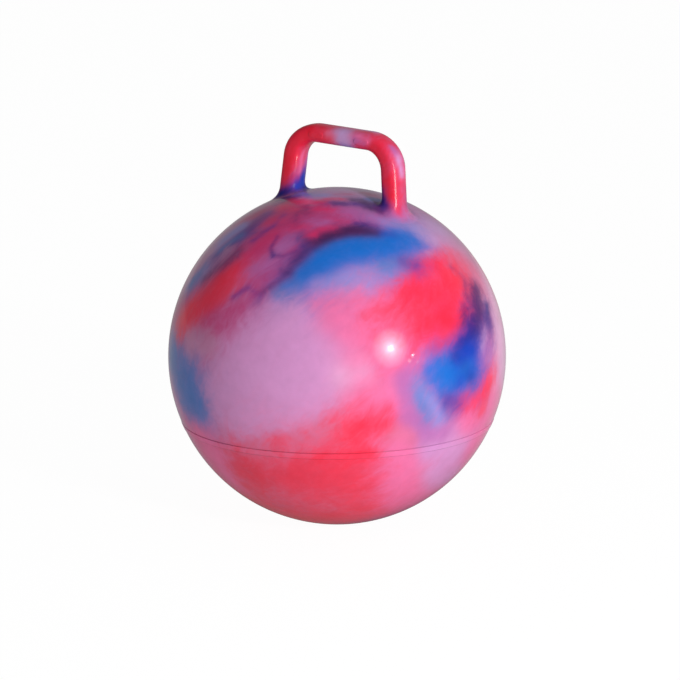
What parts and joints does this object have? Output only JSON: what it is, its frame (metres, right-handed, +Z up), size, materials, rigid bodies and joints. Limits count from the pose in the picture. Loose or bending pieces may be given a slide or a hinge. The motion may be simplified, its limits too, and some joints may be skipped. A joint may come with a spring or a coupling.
{
  "type": "hopper ball",
  "caption": "Inflated marbled vinyl bouncing ball to sit on, with one moulded loop handle on top and a plugged air valve behind it.",
  "frame": {"origin": "middle of the flat patch that the ball rests on, on the floor", "axes": "+Z up through the crown, +X along the grip bar, +Y to the back, where the valve is"},
  "size_m": [0.4499, 0.4498, 0.532],
  "materials": {
    "marbled_vinyl": "glossy soft vinyl, marbled in crimson, lilac and blue",
    "handle_vinyl": "glossy soft vinyl, marbled mostly crimson with lilac and blue",
    "valve_vinyl": "satin soft vinyl",
    "plug_vinyl": "satin soft vinyl"
  },
  "bodies": {
    "ball": {"ball_skin": "marbled_vinyl", "handle": "handle_vinyl", "valve_seat": "valve_vinyl"},
    "plug": {"valve_plug": "plug_vinyl"}
  },
  "joints": [
    {"name": "plug_pull", "type": "slide", "parent": "ball", "child": "plug", "axis": [0, 0.5878, 0.809], "range_m": [0, 0.03]}
  ]
}
